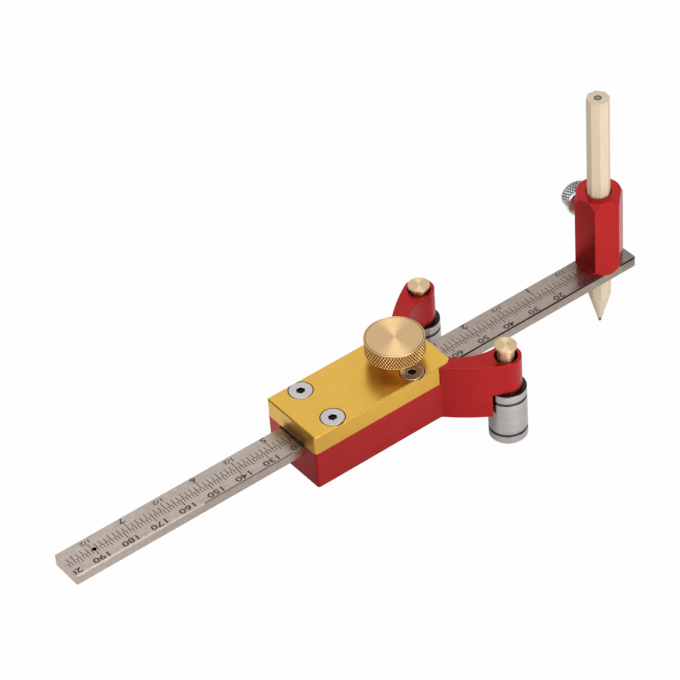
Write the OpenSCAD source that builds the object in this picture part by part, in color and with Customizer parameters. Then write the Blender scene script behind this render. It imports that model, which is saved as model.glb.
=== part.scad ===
// Parallel marking ruler: a graduated steel ruler slides through a small red fence
// body under a gold cover, a knurled knob locks it, two upright ball-bearing rollers
// run along the edge of the work, and a hexagonal holder carries the pencil.
// The origin is on the underside of the body, straight below the lock knob.
// +X points to the pencil, +Z up, and the rollers stand at equal distances either side of the ruler.

/* [Ruler] */
// Length of the steel ruler
ruler_len = 210; // [190:1:260]
// Width of the ruler
ruler_w = 11.5; // [10:0.1:14]
// Thickness of the ruler
ruler_t = 3.6; // [2.5:0.1:5]
// Distance from the lock knob to the pencil at rest
reach = 80.2; // [70:0.1:110]
// Ruler left beyond the pencil
ruler_nose = 10; // [9.5:0.1:14]
// Break on the long edges of the ruler
ruler_break = 0.35; // [0.1:0.05:0.5]
// Corner radius of the ruler in plan
ruler_corner_r = 0.8; // [0.3:0.1:2]
// Diameter of the pivot hole in the tail
pivot_hole_d = 1.5; // [1:0.1:3]
// Distance from the tail end to the pivot hole
pivot_hole_back = 10; // [5:0.5:20]

/* [Body] */
// Distance from the lock knob back to the rear face
body_rear = 39.35; // [36:0.05:50]
// Distance from the lock knob to the front face
body_front = 12.45; // [10:0.05:20]
// Height of the channel floor above the underside
channel_floor = 8.75; // [7:0.05:12]
// Side clearance of the ruler in its channel
slide_gap = 0.06; // [0.03:0.01:0.1]
// Clearance under the ruler
bed_gap = 0.05; // [0.02:0.01:0.1]
// Radius of the rear upright corners
body_corner_r = 0.8; // [0.3:0.1:2]

/* [Cover] */
// Air between the ruler and the cover
cover_gap = 0.7; // [0.4:0.05:1.5]
// Thickness of the cover
cover_t = 6.55; // [5.5:0.05:9]
// Rear corner radius of the cover
cover_rear_r = 1; // [0.5:0.1:2]
// Front corner radius of the cover
cover_front_r = 3.2; // [2:0.1:4]
// Break on the top edges of the cover
cover_break = 0.4; // [0.1:0.05:0.8]
// Gap between the cover and the arms that wrap its front corners
cover_fit = 0.15; // [0.05:0.01:0.3]

/* [Cover screws] */
// Distance between the two pairs of screws
screw_pitch = 29.65; // [26:0.05:34]
// Wall left between the channel and a screw thread
screw_wall = 0.57; // [0.2:0.01:0.8]
// Mean radius of the screw thread
screw_thread_r = 1.36; // [1.1:0.01:1.6]
// Radius of the countersunk head
screw_head_r = 3.6; // [3:0.05:3.8]
// Gap round the head in its countersink
screw_ring = 0.2; // [0.08:0.01:0.25]
// Land between the countersink and the side of the cover
screw_land = 0.16; // [0.1:0.01:0.5]
// Straight rim of the screw head
screw_rim = 0.3; // [0.2:0.05:0.5]
// Hexagon socket across its flats
screw_socket_af = 2.5; // [1.5:0.1:3]
// Depth of the hexagon socket
screw_socket_depth = 1.3; // [0.8:0.1:1.6]
// Length of screw thread in the body
screw_grip = 6.5; // [4:0.1:8]
// Extra radius of the plain holes in the cover
screw_clear = 0.24; // [0.1:0.01:0.4]

/* [Lock knob] */
// Diameter of the knurled knob
knob_d = 18.4; // [15:0.1:20]
// Height of the knob head
knob_h = 5.3; // [4:0.1:8]
// Space between the knob head and the cover when it is locked
knob_air = 3.55; // [2:0.05:6]
// Radius of the neck below the head
knob_neck_r = 4.5; // [3:0.1:6]
// Space between the neck and the cover when it is locked
neck_air = 0.6; // [0.3:0.05:1]
// Height of the plain lip round the top face
knob_lip = 0.45; // [0.3:0.05:1]
// Height of the groove below the lip
knob_groove = 0.3; // [0.2:0.05:0.5]
// Depth of the groove below the lip
knob_groove_depth = 0.35; // [0.2:0.05:0.5]
// Break on the lower edge of the head
knob_break = 0.45; // [0.2:0.05:0.8]
// Mean radius of the lock screw thread
lock_thread_r = 2.28; // [1.8:0.01:3]
// Radius of the journal that turns in the clamp pad
journal_r = 1.5; // [1:0.05:1.7]
// Length of the journal
journal_len = 1.1; // [0.8:0.05:1.3]

/* [Clamp pad] */
// Diameter of the pad that presses on the ruler
pad_d = 8; // [6:0.1:9]
// Thickness of the pad
pad_t = 2; // [1.6:0.1:2.4]
// Lift of the pad when the knob is turned back
pad_lift = 1.2; // [0.5:0.1:1.5]

/* [Arms] */
// Roller axis ahead of the front face
arm_reach = 13; // [11:0.05:16]
// Roller axis outside the side of the body
arm_spread = 8.85; // [8:0.05:12]
// Radius of the round arm end
arm_end_r = 4.7; // [4.3:0.05:5.5]
// Distance from the front face back to the root of the outer edge
arm_root_back = 5.35; // [4:0.05:8]
// Distance from the side of the body in to the root of the inner edge
arm_root_in = 1.55; // [0.8:0.05:2]
// Radius of the arm's outer edge
arm_outer_r = 65; // [55:1:150]
// Radius of the arm's inner edge
arm_inner_r = 17.5; // [14:0.5:20]
// Fillet where the outer edge leaves the side
outer_fillet_r = 1.5; // [0.5:0.1:3]
// Fillet where the inner edge leaves the front face
inner_fillet_r = 2; // [0.5:0.1:3]
// Counterbore radius in the arm end
arm_bore_r = 3.6; // [3.5:0.05:3.8]
// Height of the step above the roller
step_h = 8.4; // [7:0.05:10]
// Radial space round the roller below the step
roller_room = 0.8; // [0.5:0.05:1.5]

/* [Rollers] */
// Outer diameter of the linear ball bearing
roller_d = 12; // [11:0.1:13]
// Length of the linear ball bearing
roller_len = 19; // [16:0.1:24]
// Space between the roller and the step above it
roller_top_gap = 0.3; // [0.2:0.05:0.5]
// Width of each ring groove
groove_w = 1.1; // [0.8:0.05:1.5]
// Depth of each ring groove
groove_depth = 0.25; // [0.15:0.05:0.4]
// Distance over the two grooves
groove_span = 13.5; // [11:0.1:14.5]
// Break on the roller's end edges
roller_break = 0.3; // [0.1:0.05:0.5]
// Bore radius of the steel sleeve
sleeve_bore_r = 4.6; // [4.5:0.05:4.8]
// Length of each end ring
end_ring_len = 1.5; // [1:0.1:2.5]
// Running clearance of the roller on its axle
running_gap = 0.08; // [0.05:0.01:0.1]
// Rows of balls
ball_rows = 4; // [3:1:5]
// Balls in each row
balls_per_row = 6; // [4:1:7]
// Clearance round each ball
ball_gap = 0.05; // [0.03:0.01:0.08]

/* [Axles] */
// Outer radius of the axle tube
axle_r = 3; // [2.9:0.05:3.2]
// Press allowance between parts that stay together
press_gap = 0.02; // [0.01:0.01:0.03]
// Axle below the roller
axle_foot = 1.5; // [1.2:0.1:3]
// Space between the roller and its retaining clip
clip_air = 0.1; // [0.05:0.01:0.3]
// Thickness of the retaining clip
clip_t = 0.7; // [0.5:0.05:1]
// Outer radius of the retaining clip
clip_r = 4.3; // [3.8:0.1:4.4]
// Depth of the clip's groove in the axle
clip_groove = 0.3; // [0.2:0.05:0.4]
// Opening between the ends of the clip
clip_mouth = 2.6; // [1.5:0.1:3.5]

/* [Brass pins] */
// Diameter of the pin head
pin_head_d = 6.75; // [6:0.05:6.9]
// Height of the straight rim of the pin head
pin_rim = 0.8; // [0.5:0.05:1.2]
// Radius of the collar below the pin head
pin_collar_r = 2.6; // [2.3:0.05:2.9]
// Length of the collar below the pin head
pin_collar_len = 3.4; // [2:0.1:4]
// Radius of the pin shank
pin_r = 2; // [1.8:0.05:2.1]
// Sliding clearance of the pin in its axle
pin_gap = 0.05; // [0.03:0.01:0.08]
// Depth of the near pin's end above the lower end of its axle
pin_inside = 3.4; // [1:0.1:6]
// Break on the end of the pin
pin_break = 0.4; // [0.2:0.05:0.8]
// Height of the near pin's head above the arm
pin_near_up = 4.3; // [2.5:0.05:5]
// Height of the far pin's head above the arm
pin_far_up = 1.65; // [0.5:0.05:4]
// Radius of the friction ring's section
ring_section_r = 0.55; // [0.4:0.05:0.6]
// Space between the pin's collar and the friction ring when the pin is pushed home
ring_air = 0.1; // [0.05:0.01:0.3]

/* [Pencil holder] */
// Radius of the hexagonal holder over its corners
holder_r = 7.88; // [7.2:0.01:8.5]
// Height of the hexagonal holder
holder_h = 28.2; // [22:0.1:34]
// Turn of the hexagon about its axis
holder_turn = 10.2; // [0:0.1:60]
// Drop of the corner radius at the ends
holder_end_drop = 0.98; // [0.3:0.01:1]
// Height of the turned end at the top
holder_top_taper = 2.5; // [1:0.1:4]
// Height of the turned end at the bottom
holder_foot_taper = 2.2; // [1:0.1:4]
// Radius of the pencil bore
holder_bore_r = 3.75; // [3.7:0.01:3.8]
// Countersink at the mouth of the pencil bore
holder_mouth = 0.3; // [0.2:0.05:1.5]
// Radius of the spigot in the ruler
spigot_r = 4.6; // [4.4:0.05:4.7]

/* [Pencil] */
// Radius of the pencil over its corners
pencil_r = 3.6; // [3.3:0.01:3.65]
// Turn of the octagon about its axis
pencil_turn = 13.4; // [0:0.1:45]
// Height of the pencil's top end above the ruler
pencil_above = 63.3; // [50:0.1:90]
// Reach of the pencil's point below the ruler's top face
pencil_below = 23.7; // [18:0.1:28]
// Length of the sharpened cone
point_len = 11.7; // [9:0.1:14]
// Radius of the blunt point
point_r = 0.35; // [0.1:0.05:0.45]
// Radius of the graphite core
core_r = 0.7; // [0.6:0.05:1.3]

/* [Thumb screw] */
// Direction of the thumb screw about the holder's axis
thumb_turn = 70.2; // [70.2:60:370.2]
// Height of the thumb screw above the ruler
thumb_up = 13.3; // [9:0.1:19]
// Mean radius of the thumb screw thread
thumb_thread_r = 1.81; // [1.5:0.01:2]
// Distance from the holder's axis to the head's inner rim
thumb_head_from = 14.8; // [13.5:0.1:17]
// Length of the knurled head
thumb_head_len = 4.2; // [3:0.1:6]
// Diameter of the knurled head
thumb_head_d = 10.4; // [8:0.1:12]
// Knurled flutes round the head
thumb_flutes = 40; // [24:1:60]
// Depth of each flute
thumb_flute_depth = 0.22; // [0.1:0.01:0.3]
// Length of the cone behind the head
thumb_cone_len = 1; // [0.5:0.1:1.2]
// Radius of the neck at the small end of the cone
thumb_neck_r = 3; // [2.2:0.1:3.5]
// Break on the head's outer edge
thumb_break = 0.4; // [0.2:0.05:0.8]
// Thickness of the tip pad
thumb_pad_t = 0.85; // [0.6:0.05:1.2]
// Radius of the tip pad's stem
thumb_stem_r = 0.9; // [0.6:0.05:1.1]
// Length of the tip pad's stem
thumb_stem_len = 1; // [0.6:0.05:1.4]

/* [Clearances] */
// Turning clearance of a screw in its thread or pad
turn_gap = 0.05; // [0.03:0.01:0.08]
// Air between a pressing face and what it presses
touch_gap = 0.05; // [0.02:0.01:0.1]

/* [Hidden] */

$fn = 96;
over = 1;

// Heights
ruler_z = channel_floor + bed_gap;
ruler_top = ruler_z + ruler_t;
seat_z = ruler_top + cover_gap;
cover_top = seat_z + cover_t;

// Widths: channel, screws and sides follow the ruler
channel_half = ruler_w / 2 + slide_gap;
screw_y = channel_half + screw_wall + screw_thread_r;
sink_r = screw_head_r + screw_ring;
body_half = screw_y + sink_r + screw_land;

// Screws
screw_cone_h = screw_head_r - screw_thread_r;
screw_hole_r = screw_thread_r + screw_clear;
screw_length = cover_t + screw_grip;

// Lock knob and clamp pad
knob_r = knob_d / 2;
knob_z = cover_top + knob_air;
neck_z = cover_top + neck_air;
pad_z = ruler_top + touch_gap;
pad_r = pad_d / 2;
pad_room_r = pad_r + 2 * turn_gap;
pad_room_top = pad_z + pad_t + pad_lift + 3 * turn_gap;

// Arms
side_shares = [-1, 1];
// How far each arc and blend reaches into what it joins, so that they cross instead of touching
arc_sink = 0.01;
axle_at = [body_front + arm_reach, body_half + arm_spread];
outer_root = [body_front - arm_root_back, body_half];
inner_root = [body_front, body_half - arm_root_in];
outer_centre = meet(outer_root, arm_outer_r, axle_at, arm_outer_r - arm_end_r + arc_sink);
inner_centre = meet(inner_root, arm_inner_r, axle_at, arm_inner_r + arm_end_r - arc_sink);
outer_touch = along(outer_centre, axle_at, arm_outer_r);
inner_touch = along(inner_centre, axle_at, arm_inner_r);
outer_middle = (outer_root + outer_touch) / 2;
outer_apex = outer_centre + (outer_middle - outer_centre)
    * pow(arm_outer_r / norm(outer_middle - outer_centre), 2);

// Rollers and axles
roller_r = roller_d / 2;
roller_z = step_h - roller_top_gap - roller_len;
axle_foot_z = roller_z - axle_foot;
pin_head_r = pin_head_d / 2;
pin_head_h = pin_rim + pin_head_r - pin_collar_r;
pin_len = cover_top + pin_near_up - axle_foot_z - pin_inside;
ring_inner_r = pin_r + pin_gap;
counterbore_z = cover_top - pin_head_h - pin_collar_len - ring_air - 2 * ring_section_r;
ring_room_r = axle_r + running_gap;
clip_z = roller_z - clip_air - clip_t;
clip_inner_r = axle_r - clip_groove + press_gap;
race_gap = sleeve_bore_r - axle_r;
ball_r = race_gap / 2 - ball_gap;
ball_path_r = axle_r + race_gap / 2;
cage_len = roller_len - 2 * end_ring_len;
cage_inner_r = axle_r + 2 * running_gap;
cage_outer_r = sleeve_bore_r - ball_gap;
slot_half = ball_r + ball_gap;
ball_step = min(2 * slot_half, (cage_len - 4 * slot_half) / (balls_per_row - 1));
slot_len = (balls_per_row - 1) * ball_step + 2 * slot_half;

// Pencil holder, pencil and thumb screw
holder_z = ruler_top;
pencil_top = ruler_top + pencil_above;
pencil_tip = ruler_top - pencil_below;
pencil_taper = (pencil_r - point_r) / point_len;
core_bare = (core_r - point_r) / pencil_taper;
thumb_z = ruler_top + thumb_up;
thumb_pad_from = pencil_r + touch_gap;
thumb_from = thumb_pad_from + thumb_pad_t + touch_gap;
thumb_head_r = thumb_head_d / 2;
thumb_cone_from = thumb_head_from - thumb_cone_len;

// Point where the circle of radius a round p meets the circle of radius b round q,
// to the right of the line from p to q
function meet(p, a, q, b) =
    let (d = norm(q - p), u = (q - p) / d, s = (a * a - b * b + d * d) / (2 * d))
    p + s * u + sqrt(a * a - s * s) * [u.y, -u.x];

// Point at distance r from p towards q
function along(p, q, r) = p + r * (q - p) / norm(q - p);

// Rectangle from x0 to x1 and half as wide as half, with round rear and front corners
module rounded_plan(x0, x1, half, rear_r, front_r) {
    for (s = side_shares) {
        translate([x0 + rear_r, s * (half - rear_r)]) circle(rear_r);
        translate([x1 - front_r, s * (half - front_r)]) circle(front_r);
    }
    translate([x0 + rear_r, -half]) square([x1 - x0 - rear_r - front_r, 2 * half]);
    translate([x0, rear_r - half]) square([rear_r, 2 * (half - rear_r)]);
    translate([x1 - front_r, front_r - half]) square([front_r, 2 * (half - front_r)]);
}

// Outline of the cover, grown by gap
module cover_plan(gap = 0) {
    rounded_plan(-body_rear - gap, body_front + gap, body_half + gap,
        cover_rear_r + gap, cover_front_r + gap);
}

// Bar along X whose two upper edges, or all four long edges, are broken
module broken_bar(x0, x1, half, h, cut, lower_cut) {
    translate([x0, 0, 0])
        rotate([90, 0, 90])
            linear_extrude(x1 - x0)
                polygon([
                    [lower_cut - half, 0], [half - lower_cut, 0], [half, lower_cut],
                    [half, h - cut], [half - cut, h], [cut - half, h],
                    [-half, h - cut], [-half, lower_cut]]);
}

// The arm that curves out from the side of the body to the roller's axle
module arm_plan() {
    difference() {
        intersection() {
            polygon([inner_root, outer_root, outer_apex, outer_touch, axle_at, inner_touch]);
            translate(outer_centre) circle(arm_outer_r, $fn = 4 * $fn);
        }
        translate(inner_centre) circle(arm_inner_r);
    }
    translate(axle_at) circle(arm_end_r);
    outer_fillet();
    inner_fillet();
}

// Both arms, one each side of the ruler
module arms_plan() {
    arm_plan();
    mirror([0, 1]) arm_plan();
}

// Concave blend between the side of the body and the arm's outer edge
module outer_fillet() {
    rise = body_half + outer_fillet_r;
    far = arm_outer_r + outer_fillet_r;
    centre = [outer_centre.x - sqrt(far * far - pow(rise - outer_centre.y, 2)), rise];
    difference() {
        polygon([[centre.x, body_half - outer_fillet_r], centre,
            along(outer_centre, centre, arm_outer_r - outer_fillet_r),
            [outer_root.x, body_half - outer_fillet_r]]);
        translate(centre) circle(outer_fillet_r + arc_sink);
    }
}

// Concave blend between the front face and the arm's inner edge
module inner_fillet() {
    run = body_front + inner_fillet_r;
    near = arm_inner_r - inner_fillet_r;
    centre = [run, inner_centre.y + sqrt(near * near - pow(run - inner_centre.x, 2))];
    difference() {
        polygon([[body_front - inner_fillet_r, centre.y], centre,
            along(inner_centre, centre, arm_inner_r + inner_fillet_r),
            along(inner_centre, inner_root, arm_inner_r + inner_fillet_r)]);
        translate(centre) circle(inner_fillet_r + arc_sink);
    }
}

// Puts what follows on one roller axle, on side -1 (near) or 1 (far)
module at_axle(side) {
    translate([axle_at.x, side * axle_at.y, 0]) children();
}

// Puts what follows on the four screw axes
module at_screws() {
    for (x = [-screw_pitch, 0], s = side_shares)
        translate([x, s * screw_y, 0]) children();
}

// Puts what follows on the thumb screw's axis, with +Z pointing away from the pencil
module at_thumb() {
    translate([reach, 0, thumb_z]) rotate([0, 90, thumb_turn]) children();
}

// Ring between two radii
module ring(outer_r, inner_r, h) {
    difference() {
        cylinder(h = h, r = outer_r);
        translate([0, 0, -over]) cylinder(h = h + 2 * over, r = inner_r);
    }
}

// Steel ruler with the holder's hole and the pivot hole
module ruler() color([0.72, 0.71, 0.69]) difference() {
    front = reach + ruler_nose;
    intersection() {
        translate([0, 0, ruler_z])
            broken_bar(front - ruler_len, front, ruler_w / 2, ruler_t, ruler_break, ruler_break);
        translate([0, 0, ruler_z])
            linear_extrude(ruler_t)
                rounded_plan(front - ruler_len, front, ruler_w / 2, ruler_corner_r, ruler_corner_r);
    }
    translate([reach, 0, ruler_z - over])
        cylinder(h = ruler_t + 2 * over, r = spigot_r + press_gap);
    translate([front - ruler_len + pivot_hole_back, 0, ruler_z - over])
        cylinder(h = ruler_t + 2 * over, d = pivot_hole_d);
}

// Red fence body: channel block and two curved arms that carry the roller axles
module base() color([0.78, 0.12, 0.13]) difference() {
    union() {
        linear_extrude(seat_z) {
            rounded_plan(-body_rear, body_front, body_half, body_corner_r, body_corner_r);
            arms_plan();
        }
        translate([0, 0, seat_z]) linear_extrude(cover_t) difference() {
            arms_plan();
            cover_plan(cover_fit);
        }
    }
    translate([-body_rear - over, -channel_half, channel_floor])
        cube([body_rear + body_front + 2 * over, 2 * channel_half, seat_z - channel_floor + over]);
    at_screws()
        translate([0, 0, seat_z - screw_grip - over])
            cylinder(h = screw_grip + 2 * over, r = screw_thread_r + press_gap);
    for (side = side_shares) at_axle(side) {
        translate([0, 0, -over]) cylinder(h = step_h + over, r = roller_r + roller_room);
        cylinder(h = cover_top + over, r = axle_r + press_gap);
        translate([0, 0, counterbore_z])
            cylinder(h = cover_top - counterbore_z + over, r = arm_bore_r);
    }
}

// Gold cover with countersinks, the tapped hole and the clamp pad's pocket
module cover() color([0.86, 0.67, 0.25]) difference() {
    intersection() {
        translate([0, 0, seat_z]) linear_extrude(cover_t) cover_plan();
        translate([0, 0, seat_z])
            broken_bar(-body_rear, body_front, body_half, cover_t, cover_break, 0);
        translate([(body_front - body_rear) / 2, 0, seat_z])
            rotate([0, 0, 90])
                broken_bar(-body_half, body_half, (body_rear + body_front) / 2,
                    cover_t, cover_break, 0);
    }
    at_screws() {
        translate([0, 0, seat_z - over]) cylinder(h = cover_t + 2 * over, r = screw_hole_r);
        translate([0, 0, cover_top - screw_rim]) cylinder(h = screw_rim + over, r = sink_r);
        translate([0, 0, cover_top - screw_rim - screw_cone_h])
            cylinder(h = screw_cone_h, r1 = sink_r - screw_cone_h, r2 = sink_r);
    }
    translate([0, 0, seat_z - over]) {
        cylinder(h = cover_t + 2 * over, r = lock_thread_r + turn_gap);
        cylinder(h = pad_room_top - seat_z + over, r = pad_room_r);
    }
}

// Four countersunk screws with hexagon sockets
module cover_screws() color([0.8, 0.79, 0.78]) at_screws() difference() {
    union() {
        translate([0, 0, cover_top - screw_length])
            cylinder(h = screw_length - screw_rim, r = screw_thread_r);
        translate([0, 0, cover_top - screw_rim - screw_cone_h])
            cylinder(h = screw_cone_h, r1 = screw_thread_r, r2 = screw_head_r);
        translate([0, 0, cover_top - screw_rim]) cylinder(h = screw_rim, r = screw_head_r);
    }
    translate([0, 0, cover_top - screw_socket_depth])
        cylinder(h = screw_socket_depth + over, r = screw_socket_af / 2 / cos(30), $fn = 6);
}

// Knurled brass knob with its neck, lock screw and journal
module lock_knob() color([0.84, 0.68, 0.4]) rotate_extrude() {
    journal_z = pad_z + pad_t - journal_len;
    groove_z = knob_z + knob_h - knob_lip - knob_groove;
    polygon([
        [0, journal_z], [journal_r, journal_z], [journal_r, pad_z + pad_t + turn_gap],
        [lock_thread_r, pad_z + pad_t + turn_gap], [lock_thread_r, neck_z],
        [knob_neck_r, neck_z], [knob_neck_r, knob_z], [knob_r - knob_break, knob_z],
        [knob_r, knob_z + knob_break], [knob_r, groove_z],
        [knob_r - knob_groove_depth, groove_z],
        [knob_r - knob_groove_depth, groove_z + knob_groove],
        [knob_r - turn_gap, groove_z + knob_groove],
        [knob_r - turn_gap, knob_z + knob_h - turn_gap],
        [knob_r - 2 * turn_gap, knob_z + knob_h], [0, knob_z + knob_h]]);
}

// Round pad that turns on the lock screw's journal and presses on the ruler
module clamp_pad() color([0.75, 0.6, 0.35]) difference() {
    translate([0, 0, pad_z]) cylinder(h = pad_t, r = pad_r);
    translate([0, 0, pad_z + pad_t - journal_len - turn_gap])
        cylinder(h = journal_len + turn_gap + over, r = journal_r + turn_gap);
}

// Grooved steel outer sleeve of a roller
module roller_sleeve(side) color([0.7, 0.7, 0.7]) at_axle(side) rotate_extrude() {
    top = roller_z + roller_len;
    waist = roller_r - groove_depth;
    lower = roller_z + (roller_len - groove_span) / 2;
    upper = lower + groove_span;
    polygon([
        [sleeve_bore_r, roller_z], [roller_r - roller_break, roller_z],
        [roller_r, roller_z + roller_break],
        [roller_r, lower], [waist, lower], [waist, lower + groove_w], [roller_r, lower + groove_w],
        [roller_r, upper - groove_w], [waist, upper - groove_w], [waist, upper], [roller_r, upper],
        [roller_r, top - roller_break], [roller_r - roller_break, top], [sleeve_bore_r, top]]);
}

// Plastic cage with one long slot for each row of balls
module ball_cage(side) color([0.2, 0.2, 0.21]) at_axle(side) difference() {
    translate([0, 0, roller_z + end_ring_len]) ring(cage_outer_r, cage_inner_r, cage_len);
    for (row = [0 : ball_rows - 1])
        rotate([0, 0, row * 360 / ball_rows])
            translate([axle_r, -slot_half, roller_z + roller_len / 2 - slot_len / 2])
                cube([race_gap + over, 2 * slot_half, slot_len]);
}

// Rows of steel balls between the axle and the sleeve
module balls(side) color([0.85, 0.85, 0.86]) at_axle(side)
    for (row = [0 : ball_rows - 1], n = [0 : balls_per_row - 1])
        rotate([0, 0, row * 360 / ball_rows])
            translate([ball_path_r, 0,
                roller_z + roller_len / 2 + (n - (balls_per_row - 1) / 2) * ball_step])
                sphere(r = ball_r - ball_gap / 2, $fn = 24);

// The two rings that close a roller's ends and run on the axle
module end_rings(side) color([0.3, 0.3, 0.32]) at_axle(side)
    for (z = [roller_z, roller_z + roller_len - end_ring_len])
        translate([0, 0, z]) ring(sleeve_bore_r - press_gap, ring_room_r, end_ring_len);

// Hollow steel axle pressed into the arm, grooved for its clip
module axle_tube(side) color([0.6, 0.6, 0.62]) at_axle(side) difference() {
    translate([0, 0, axle_foot_z]) ring(axle_r, ring_inner_r, counterbore_z - axle_foot_z);
    translate([0, 0, clip_z]) ring(axle_r + over, axle_r - clip_groove, clip_t);
}

// Open spring clip that holds the roller up on its axle
module retaining_clip(side) color([0.25, 0.25, 0.27]) at_axle(side) difference() {
    translate([0, 0, clip_z]) ring(clip_r, clip_inner_r, clip_t);
    translate([0, -clip_mouth / 2, clip_z - over])
        cube([clip_r + over, clip_mouth, clip_t + 2 * over]);
}

// Rubber ring in the counterbore that holds the pin where it is set
module friction_ring(side) color([0.1, 0.1, 0.1]) at_axle(side)
    translate([0, 0, counterbore_z + ring_section_r])
        rotate_extrude() translate([ring_inner_r + ring_section_r, 0]) circle(ring_section_r, $fn = 32);

// Brass pin through the hollow axle, standing up above the arm
module pin(side, up) color([0.8, 0.63, 0.34]) at_axle(side) rotate_extrude() {
    top = cover_top + up;
    foot = top - pin_len;
    collar_z = top - pin_head_h - pin_collar_len;
    polygon([
        [0, foot], [pin_r - pin_break, foot], [pin_r, foot + pin_break], [pin_r, collar_z],
        [pin_collar_r, collar_z], [pin_collar_r, top - pin_head_h],
        [pin_head_r, top - pin_rim], [pin_head_r, top], [0, top]]);
}

// Hexagonal holder with turned ends, a pencil bore and a spigot riveted in the ruler
module pencil_holder() color([0.8, 0.13, 0.14]) difference() {
    union() {
        translate([reach, 0, holder_z]) intersection() {
            rotate([0, 0, holder_turn - 30]) cylinder(h = holder_h, r = holder_r, $fn = 6);
            rotate_extrude() polygon([
                [0, 0], [holder_r - holder_end_drop, 0],
                [holder_r + holder_end_drop, 2 * holder_foot_taper],
                [holder_r + holder_end_drop, holder_h - 2 * holder_top_taper],
                [holder_r - holder_end_drop, holder_h], [0, holder_h]]);
        }
        translate([reach, 0, ruler_z]) cylinder(h = ruler_t + over, r = spigot_r);
    }
    translate([reach, 0, ruler_z - over])
        cylinder(h = ruler_t + holder_h + 2 * over, r = holder_bore_r);
    translate([reach, 0, holder_z + holder_h - holder_mouth])
        cylinder(h = holder_mouth, r1 = holder_bore_r, r2 = holder_bore_r + holder_mouth);
    at_thumb() cylinder(h = holder_r + over, r = thumb_thread_r + turn_gap);
}

// Natural wood of the pencil: an octagon cut by the sharpening cone
module pencil_wood() color([0.83, 0.66, 0.44]) translate([reach, 0, pencil_tip]) difference() {
    length = pencil_top - pencil_tip;
    intersection() {
        rotate([0, 0, pencil_turn]) cylinder(h = length, r = pencil_r, $fn = 8);
        rotate_extrude() polygon([
            [0, 0], [point_r, 0], [pencil_r + over, point_len + over / pencil_taper],
            [pencil_r + over, length], [0, length]]);
    }
    translate([0, 0, -over]) cylinder(h = length + 2 * over, r = core_r);
}

// Graphite core with its sharpened end
module graphite_core() color([0.16, 0.16, 0.17]) translate([reach, 0, pencil_tip])
    rotate_extrude() polygon([
        [0, 0], [point_r, 0], [core_r, core_bare], [core_r, pencil_top - pencil_tip],
        [0, pencil_top - pencil_tip]]);

// Flat fluted outline of the thumb screw's knurled head
module fluted_plan() {
    steps = 2 * thumb_flutes;
    polygon([for (i = [0 : steps - 1])
        let (r = thumb_head_r - (i % 2) * thumb_flute_depth, a = i * 360 / steps)
        [r * cos(a), r * sin(a)]]);
}

// Thumb screw with a fluted head, coned on its inner side
module thumb_screw() color([0.75, 0.75, 0.76]) at_thumb() difference() {
    union() {
        translate([0, 0, thumb_from])
            cylinder(h = thumb_head_from - thumb_from + over, r = thumb_thread_r);
        translate([0, 0, thumb_cone_from])
            cylinder(h = thumb_cone_len, r1 = thumb_neck_r, r2 = thumb_head_r - thumb_break);
        intersection() {
            translate([0, 0, thumb_head_from]) linear_extrude(thumb_head_len) fluted_plan();
            translate([0, 0, thumb_head_from]) rotate_extrude() polygon([
                [0, 0], [thumb_head_r - thumb_break, 0],
                [thumb_head_r + thumb_break, 2 * thumb_break],
                [thumb_head_r + thumb_break, thumb_head_len - 2 * thumb_break],
                [thumb_head_r - thumb_break, thumb_head_len], [0, thumb_head_len]]);
        }
    }
    translate([0, 0, thumb_from - over])
        cylinder(h = thumb_stem_len + turn_gap + over, r = thumb_stem_r + turn_gap);
}

// Pad at the tip of the thumb screw, held by its stem
module thumb_pad() color([0.55, 0.53, 0.5]) at_thumb() {
    translate([0, 0, thumb_pad_from]) cylinder(h = thumb_pad_t, r = thumb_thread_r);
    translate([0, 0, thumb_pad_from])
        cylinder(h = thumb_pad_t + touch_gap + thumb_stem_len, r = thumb_stem_r);
}

ruler();
base();
cover();
cover_screws();
lock_knob();
clamp_pad();
roller_sleeve(-1);  // roller_sleeve_near
roller_sleeve(1);  // roller_sleeve_far
ball_cage(-1);  // ball_cage_near
ball_cage(1);  // ball_cage_far
balls(-1);  // balls_near
balls(1);  // balls_far
end_rings(-1);  // end_rings_near
end_rings(1);  // end_rings_far
axle_tube(-1);  // axle_tube_near
axle_tube(1);  // axle_tube_far
retaining_clip(-1);  // retaining_clip_near
retaining_clip(1);  // retaining_clip_far
friction_ring(-1);  // friction_ring_near
friction_ring(1);  // friction_ring_far
pin(-1, pin_near_up);  // pin_near
pin(1, pin_far_up);  // pin_far
pencil_holder();
pencil_wood();
graphite_core();
thumb_screw();
thumb_pad();
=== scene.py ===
"""Looks of the parallel marking ruler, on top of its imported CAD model.

Lengths are in metres in the CAD frame: +X runs along the ruler to the pencil, +Z up along the
lock knob, and the origin is on the underside of the red body below the knob. Only the tinted
zones of a finish are written in millimetres.
"""
import functools
import math

import bmesh
import bpy
import numpy as np
from mathutils import Matrix, Vector


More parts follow.
